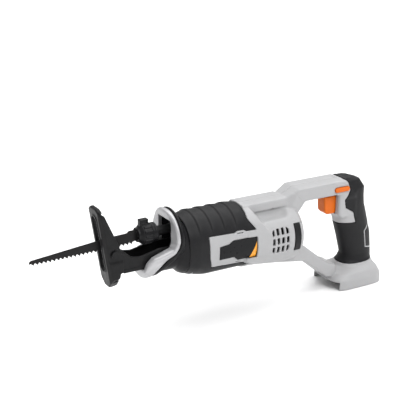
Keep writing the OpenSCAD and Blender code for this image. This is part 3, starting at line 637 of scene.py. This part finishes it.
def chuck_sleeve(x, y, z):
    radius, angle = np.hypot(y, z), np.arctan2(y, z)
    core = np.interp(x, [0, 2.5, 6.5, SLEEVE_END], [9.6, 9.6, CHUCK_R - RIB_TALL, CHUCK_R - RIB_TALL])
    rib = step_up(-0.1, 0.5, np.cos(RIBS * angle + math.pi)) * step_up(6.6, 8.2, x) \
        * (1 - step_up(17.2, 18.2, x))
    ring_groove = 0.5 * np.exp(-((x - 6.9) / 0.5) ** 2)
    body = common(radius - core - RIB_TALL * rib + ring_groove, slab(x, 0, SLEEVE_END), 0.6)
    tab = common(rounded_bar(x, y, (4, -4), (16, 4), 1.2), slab(z, 9, 19.6), 0.9)
    tab = cut(tab, np.maximum(rounded_bar(x, z, (6.3, 14.4), (13.7, 18), 0.6), 2.9 - np.abs(y)), 0.3)
    body = join(body, tab, 1.2)
    return cut(body, np.where(x > 11, radius - 11.2, radius - 8.1), 0.4)


def chuck_cap(x, y, z):
    radius = np.hypot(y, z)
    outer = radius - CAP_R + 0.5 * np.exp(-((x - 22.2) / 0.45) ** 2)
    return cut(common(outer, slab(x, SLEEVE_END + 0.1, CAP_END), 1.4), radius - PLUNGER_R)


def trigger(x, y, z):
    pad = common(soften(outline(x, z, TRIGGER), 7), np.abs(y) - TRIGGER_HALF, 2.6)
    stem = np.maximum(slab(x, 303, 310), np.maximum(slab(z, -18, 1), np.abs(y) - 7))
    stem = cut(stem, np.maximum(slab(x, 306, 312), np.maximum(slab(z, -15, -2), np.abs(y) - 5)))
    return join(pad, stem, 0.5)


def lock_off(x, y, z):
    return common(button_bar(x, z, 0, 2.8), np.abs(y) - 21.6, 1.6)


collet = moulded("chuck_grip", (-1, -15, -15), (19, 15, 20), 0.35, chuck_sleeve, "plastic_black")
place(collet, "chuck_sleeve", "plastic_black", "chuck_sleeve")
cap = moulded("chuck_ring", (18, -13, -13), (27, 13, 13), 0.35, chuck_cap, "plastic_black")
place(cap, "plunger_assembly", "plastic_black", "chuck_cap")
pad = moulded("trigger_pad", (284, -10, -25), (311, 10, 4), 0.45, trigger, "plastic_orange")
place(pad, "trigger", "plastic_orange", "trigger")
button = moulded("lock_off_bar", (294, -23, 9), (320, 23, 19), 0.5, lock_off, "plastic_orange")
place(button, "lock_off_button", "plastic_orange", "lock_off_button")

BLADE_REACH, BLADE_THICK, TOOTH_PITCH, TOOTH_DEPTH = 142, 1.3, 5.4, 3.0


def blade_outline():
    """The blade's edge from the tip along its back, round the tang and home along the teeth."""
    points = [(-BLADE_REACH, -10.5), (-141.2, -7.6), (-139, -6.2), (-57, 2), (-30, 4), (-13, 4.6),
              (-10, 7.2), (0.5, 7.2), (2.5, 5.8), (16, 5.8), (16, -5.8), (2, -5.8), (-4, -8)]
    teeth = int((BLADE_REACH - 5) / TOOTH_PITCH)
    for number in reversed(range(teeth)):
        x = 2 - BLADE_REACH + number * TOOTH_PITCH
        low = -13 + 2.4 * ((x + BLADE_REACH) / BLADE_REACH) ** 2
        points += [(x + TOOTH_PITCH, low + TOOTH_DEPTH), (x + 0.72 * TOOTH_PITCH, low),
                   (x + 0.1 * TOOTH_PITCH, low + TOOTH_DEPTH * 0.9)]
    return points


def make_blade():
    edge = blade_outline()
    points = [(x, side * BLADE_THICK / 2, z) for side in (LEFT, RIGHT) for x, z in edge]
    n = len(edge)
    faces = [list(range(n - 1, -1, -1)), list(range(n, 2 * n))]
    faces += [[i, (i + 1) % n, n + (i + 1) % n, n + i] for i in range(n)]
    piece = mesh_object("saw_blade", points, faces, "blade_black")
    rounding = piece.modifiers.new("edges", "BEVEL")
    rounding.width = 0.22 * MM
    rounding.segments = 2
    rounding.angle_limit = math.radians(30)
    shade_flat_faces(piece)
    return piece


def shade_flat_faces(piece):
    piece.modifiers.new("normals", "WEIGHTED_NORMAL").keep_sharp = True


def turn_faces_outwards(piece):
    bm = bmesh.new()
    bm.from_mesh(piece.data)
    bmesh.ops.recalc_face_normals(bm, faces=bm.faces)
    bm.to_mesh(piece.data)
    bm.free()


blade = make_blade()
turn_faces_outwards(blade)
place(blade, "plunger_assembly", "blade_black", "blade")


# ---------------------------------------------------------------- finishes of the carried CAD nodes

NODE_SLOTS = {
    "housing_screws": "screw_steel", "gear_case_screws": "screw_steel", "bracket_screws": "screw_steel",
    "work_light_lens": "lens_clear", "work_light_board": "board_green",
    "gear_case": "cast_aluminium", "gear_case_cover": "cast_aluminium", "plunger_seal": "seal_rubber",
    "front_bushing": "bronze", "rear_bushing": "bronze", "shoe_pins": "black_steel",
    "plunger": "black_steel", "chuck_body": "steel_bright", "clamp_pin": "steel_bright",
    "chuck_spring": "spring_steel", "drive_gear": "gear_steel", "crank_pin": "steel_bright",
    "gear_spindle": "steel_bright", "spindle_bearing": "steel_bright", "motor_pinion": "gear_steel",
    "motor_shaft": "steel_bright", "armature": "winding_copper", "commutator": "brass",
    "cooling_fan": "plastic_black", "motor_bearing_front": "steel_bright",
    "motor_bearing_rear": "steel_bright", "motor_can": "motor_steel", "carbon_brushes": "carbon",
    "trigger_spring": "spring_steel", "switch_body": "plastic_black", "lock_off_spring": "spring_steel",
    "terminal_block": "plastic_black", "terminal_blades": "brass",
}

for name, slot_name in NODE_SLOTS.items():
    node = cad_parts[name]
    node.data.materials.clear()
    node.data.materials.append(MATERIALS[slot_name])
    weld = node.modifiers.new("weld", "WELD")
    weld.merge_threshold = 0.002 * MM
    edges = node.modifiers.new("edges", "BEVEL")
    edges.width = 0.2 * MM
    edges.segments = 2
    edges.limit_method = "ANGLE"
    edges.angle_limit = math.radians(40)
    shade_flat_faces(node)


# ---------------------------------------------------------------- camera, floor and lights

CAMERA_AT = (-0.6305, -1.0537, 0.5800)
CAMERA_RIGHT, CAMERA_UP = (0.8634, -0.5045, 0.0), (0.1676, 0.2868, 0.9432)


def make_camera():
    data = bpy.data.cameras.new("camera")
    data.sensor_width = 36
    data.lens = 86.54
    camera = bpy.data.objects.new("camera", data)
    bpy.context.scene.collection.objects.link(camera)
    right, up = Vector(CAMERA_RIGHT).normalized(), Vector(CAMERA_UP).normalized()
    turn = Matrix((right, up, right.cross(up))).transposed()
    camera.matrix_world = Matrix.Translation(CAMERA_AT) @ turn.to_4x4()
    bpy.context.scene.camera = camera


def make_floor():
    """A pale sheet that fills the view."""
    mesh = bpy.data.meshes.new("floor")
    mesh.from_pydata([(-30, -30, 0), (30, -30, 0), (30, 30, 0), (-30, 30, 0)], [], [(0, 1, 2, 3)])
    mesh.materials.append(surface("floor_paper", grey(0.95), rough=0.9, mottle=0.004, mottle_scale=3,
                                  grain_scale=300, grain_depth=0.02, specular=0.1))
    sheet = bpy.data.objects.new("floor", mesh)
    bpy.context.scene.collection.objects.link(sheet)


def area_light(name, place_at, aim, size, power):
    data = bpy.data.lights.new(name, "AREA")
    data.shape = "RECTANGLE"
    data.size, data.size_y = size
    data.energy = power
    light = bpy.data.objects.new(name, data)
    bpy.context.scene.collection.objects.link(light)
    light.location = place_at
    light.rotation_euler = (Vector(aim) - Vector(place_at)).to_track_quat("-Z", "Y").to_euler()


def sun_light(name, towards, spread, strength):
    """A far soft light in that direction, which lights the whole floor evenly."""
    data = bpy.data.lights.new(name, "SUN")
    data.angle = math.radians(spread)
    data.energy = strength
    light = bpy.data.objects.new(name, data)
    bpy.context.scene.collection.objects.link(light)
    light.rotation_euler = Vector(towards).to_track_quat("Z", "Y").to_euler()


def make_world():
    world = bpy.data.worlds.new("studio")
    world.use_nodes = True
    nodes, links = world.node_tree.nodes, world.node_tree.links
    direction = nodes.new("ShaderNodeTexCoord").outputs["Generated"]
    height = nodes.new("ShaderNodeSeparateXYZ")
    links.new(direction, height.inputs["Vector"])
    glow = ramp(nodes, links, height.outputs["Z"], [(0.0, grey(0.30)), (0.85, grey(1.0))])
    links.new(glow, nodes["Background"].inputs["Color"])
    nodes["Background"].inputs["Strength"].default_value = 0.85
    bpy.context.scene.world = world
    bpy.context.scene.view_settings.view_transform = "Standard"


make_camera()
make_floor()
make_world()
area_light("key", (0.35, -1.2, 1.35), (0, 0, 0.1), (0.8, 0.8), 14)
sun_light("sky_panel", (0.25, 0.2, 1.0), 70, 2.4)
